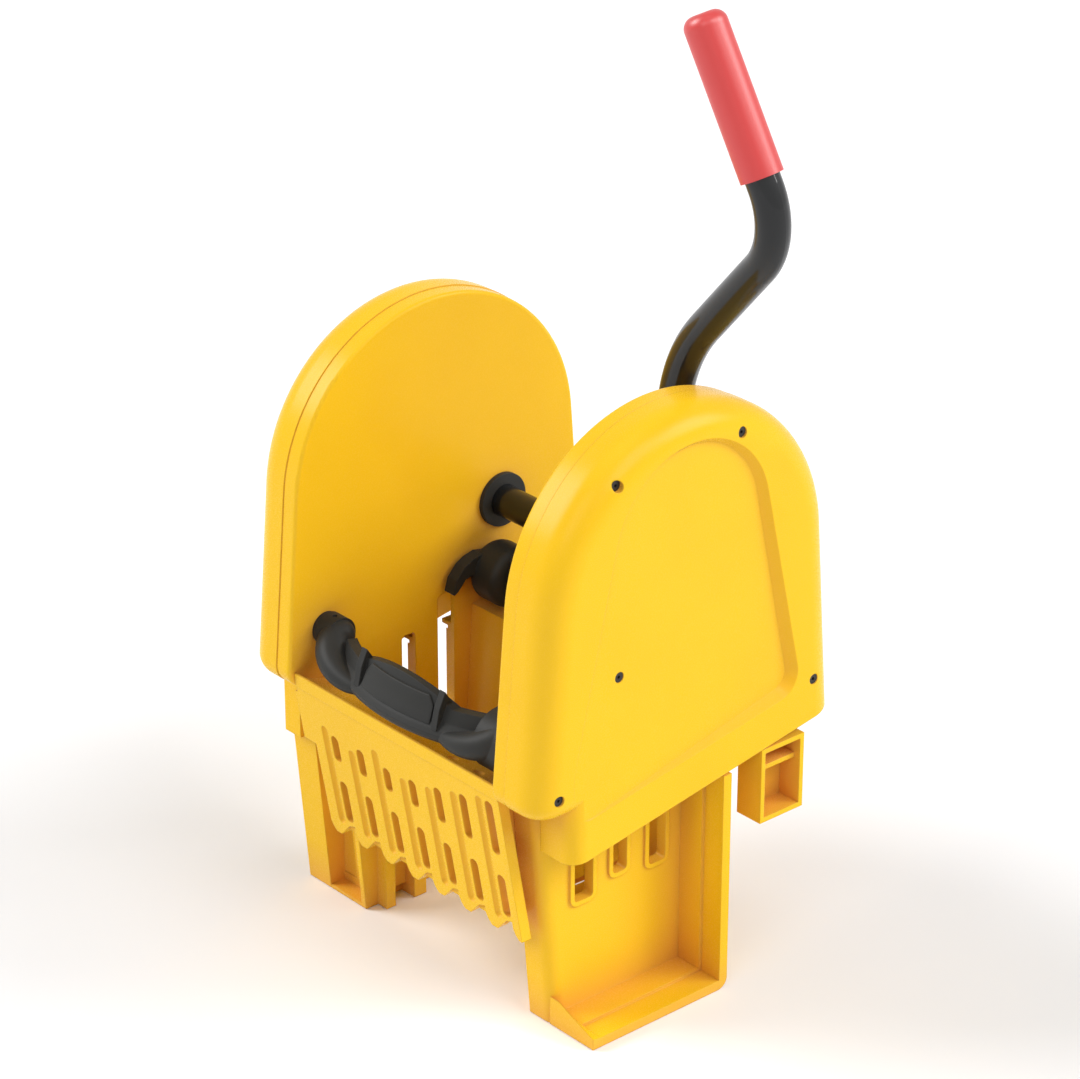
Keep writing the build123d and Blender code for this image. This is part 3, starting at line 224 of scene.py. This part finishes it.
def mesh_object(name: str, shape: bmesh.types.BMesh, smooth: float = 40.0) -> bpy.types.Object:
    """Turn a bmesh into a linked object at the origin.

    Args:
        name: Name of the piece.
        shape: The bmesh, freed here.
        smooth: Largest angle, in degrees, that is shaded smooth.

    Returns:
        The new object.
    """
    mesh = bpy.data.meshes.new(name)
    shape.to_mesh(mesh)
    shape.free()
    piece = bpy.data.objects.new(name, mesh)
    bpy.context.scene.collection.objects.link(piece)
    mesh.shade_smooth()
    mesh.set_sharp_from_angle(angle=math.radians(smooth))
    return piece


@dataclass
class CadNodes:
    """The CAD nodes, each with the finish of its record slot."""

    slots: dict[str, Slot] = field(default_factory=dict)

    def __post_init__(self) -> None:
        """Read each node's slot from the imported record."""
        for row in frame["record"]["subparts"]:
            self.slots[row["node"]] = Slot(row["material_slot"])

    def dress(self) -> None:
        """Put the finishes on the nodes."""
        for name, node in frame["nodes"].items():
            slot = self.slots[name]
            node.data.materials.clear()
            node.data.materials.append(FINISHES[slot].material())
            LOG.info("node %s takes %s", name, slot.value)


@dataclass
class PressPad:
    """Bare raised panel on the front press, between its two ribs."""

    axis_y: float = 136.0
    radius: float = 190.0
    half_x: float = 40.5
    steps: int = 24
    profile: tuple[tuple[float, float], ...] = (
        (2.4, 236.6), (4.7, 240.8), (8.6, 250.2), (10.4, 256.0), (13.0, 256.0), (9.0, 246.0), (6.0, 236.6),
    )
    corner_x: float = 33.0
    corner_z: float = 256.0
    corner_tilt: float = 52.0
    rounding: float = 0.7
    sharp_angle: float = 35.0
    merge: float = 0.001

    def build(self) -> None:
        """Spin the profile round the bow, cut the upper corners and round the edges."""
        shape = bmesh.new()
        front_y = self.axis_y - self.radius
        corners = [shape.verts.new(at(0.0, front_y + depth, z)) for depth, z in self.profile]
        face = shape.faces.new(corners)
        half = math.asin(self.half_x / self.radius)
        centre = at(0.0, self.axis_y, 0.0)
        bmesh.ops.rotate(shape, cent=centre, matrix=Matrix.Rotation(-half, 3, "Z"), verts=shape.verts)
        bmesh.ops.spin(shape, geom=[face, *face.edges, *face.verts], cent=centre, axis=(0, 0, 1),
                       dvec=(0, 0, 0), angle=2 * half, steps=self.steps, use_duplicate=False)
        bmesh.ops.remove_doubles(shape, verts=shape.verts, dist=self.merge * MM)
        tilt = math.radians(self.corner_tilt)
        for side in (-1.0, 1.0):
            cut = bmesh.ops.bisect_plane(
                shape, geom=[*shape.verts, *shape.edges, *shape.faces], clear_outer=True,
                plane_co=at(side * self.corner_x, 0.0, self.corner_z),
                plane_no=(side * math.sin(tilt), 0.0, math.cos(tilt)))
            rim = [item for item in cut["geom_cut"] if isinstance(item, bmesh.types.BMEdge)]
            bmesh.ops.edgeloop_fill(shape, edges=rim)
        bmesh.ops.recalc_face_normals(shape, faces=shape.faces)
        sharp = math.radians(self.sharp_angle)
        edges = [edge for edge in shape.edges if edge.is_manifold and edge.calc_face_angle(0.0) > sharp]
        bmesh.ops.bevel(shape, geom=edges, offset=self.rounding * MM, affect="EDGES", segments=3, profile=0.5,
                        material=-1, clamp_overlap=True)
        dress(mesh_object("front_press_panel", shape), Slot.BLACK, "front")


@dataclass
class Studio:
    """Camera at the photograph's viewpoint, pale floor, soft light and a white surround."""

    eye: tuple[float, float, float] = (1960.5, -1614.2, 1569.5)
    azimuth: float = 48.92
    elevation: float = 25.54
    roll: float = 0.06
    focal: float = 3870.0
    image_width: float = 1080.0
    sensor: float = 36.0
    far: float = 100.0
    floor_half: float = 12.0
    floor_drop: float = 0.0006
    floor_color: Color = (0.97, 0.97, 0.98, 1)
    floor_roughness: float = 0.9
    floor_specular: float = 0.1
    lamp_distance: float = 3.0
    softness: float = 32.0
    surround: float = 0.1
    suns: tuple[tuple[str, float, float, float], ...] = (
        ("front_left", -50.0, 35.0, 2.3),
        ("right", 95.0, 45.0, 1.1),
        ("back_right", 135.0, 32.0, 1.85),
        ("camera_side", 30.0, 38.0, 0.5),
        ("top", 0.0, 88.0, 0.2),
    )

    def camera(self) -> None:
        """Place the camera."""
        data = bpy.data.cameras.new("camera")
        data.sensor_width = self.sensor
        data.lens = self.focal / self.image_width * self.sensor
        data.clip_end = self.far
        camera = bpy.data.objects.new("camera", data)
        bpy.context.scene.collection.objects.link(camera)
        turn = math.radians(self.azimuth)
        rise = math.radians(self.elevation)
        right = Vector((math.cos(turn), math.sin(turn), 0.0))
        lean = math.sin(rise)
        up = Vector((-math.sin(turn) * lean, math.cos(turn) * lean, math.cos(rise)))
        basis = Matrix((right, up, right.cross(up))).transposed()
        spin = Matrix.Rotation(math.radians(self.roll), 3, "Z")
        camera.matrix_world = Matrix.Translation(at(*self.eye)) @ (basis @ spin).to_4x4()
        bpy.context.scene.camera = camera

    def floor(self) -> None:
        """Lay the pale floor."""
        shape = bmesh.new()
        bmesh.ops.create_grid(shape, x_segments=1, y_segments=1, size=self.floor_half)
        bmesh.ops.translate(shape, verts=shape.verts, vec=(0, 0, -self.floor_drop))
        floor = mesh_object("floor", shape)
        material = bpy.data.materials.new("pale_floor")
        material.use_nodes = True
        shader = material.node_tree.nodes["Principled BSDF"]
        shader.inputs["Base Color"].default_value = self.floor_color
        shader.inputs["Roughness"].default_value = self.floor_roughness
        shader.inputs["Specular IOR Level"].default_value = self.floor_specular
        floor.data.materials.append(material)

    def sun(self, name: str, azimuth: float, elevation: float, strength: float) -> None:
        """Add one soft distant lamp.

        Args:
            name: Name of the lamp.
            azimuth: Degrees from the front, positive towards the lever side.
            elevation: Degrees above the floor.
            strength: Watts per square metre.
        """
        data = bpy.data.lights.new(name, "SUN")
        data.energy = strength
        data.angle = math.radians(self.softness)
        lamp = bpy.data.objects.new(name, data)
        bpy.context.scene.collection.objects.link(lamp)
        turn = math.radians(azimuth)
        rise = math.radians(elevation)
        level = math.cos(rise)
        heading = Vector((math.sin(turn) * level, -math.cos(turn) * level, math.sin(rise)))
        lamp.location = heading * self.lamp_distance
        lamp.rotation_mode = "QUATERNION"
        lamp.rotation_quaternion = (-heading).to_track_quat("-Z", "Y")

    def world(self) -> None:
        """White surround for the camera and for reflections, softer light on the object."""
        world = bpy.data.worlds.new("surround")
        bpy.context.scene.world = world
        world.use_nodes = True
        nodes = world.node_tree.nodes
        links = world.node_tree.links
        nodes.clear()
        path = nodes.new("ShaderNodeLightPath")
        pick = nodes.new("ShaderNodeMath")
        pick.operation = "MAXIMUM"
        links.new(path.outputs["Is Camera Ray"], pick.inputs[0])
        links.new(path.outputs["Is Transmission Ray"], pick.inputs[1])
        either = nodes.new("ShaderNodeMath")
        either.operation = "MAXIMUM"
        links.new(pick.outputs[0], either.inputs[0])
        links.new(path.outputs["Is Glossy Ray"], either.inputs[1])
        light = nodes.new("ShaderNodeBackground")
        light.inputs["Color"].default_value = (1, 1, 1, 1)
        light.inputs["Strength"].default_value = self.surround
        white = nodes.new("ShaderNodeBackground")
        white.inputs["Color"].default_value = (1, 1, 1, 1)
        white.inputs["Strength"].default_value = 1.0
        mix = nodes.new("ShaderNodeMixShader")
        links.new(either.outputs[0], mix.inputs[0])
        links.new(light.outputs[0], mix.inputs[1])
        links.new(white.outputs[0], mix.inputs[2])
        out = nodes.new("ShaderNodeOutputWorld")
        links.new(mix.outputs[0], out.inputs["Surface"])

    def build(self) -> None:
        """Set up the whole studio."""
        bpy.context.scene.view_settings.view_transform = "Standard"
        self.camera()
        self.floor()
        self.world()
        for name, azimuth, elevation, strength in self.suns:
            self.sun(name, azimuth, elevation, strength)


def main() -> None:
    """Build and dress everything in order."""
    logging.basicConfig(level=logging.INFO, format="%(message)s")
    CadNodes().dress()
    PressPad().build()
    Studio().build()


if __name__ == "__main__":
    main()
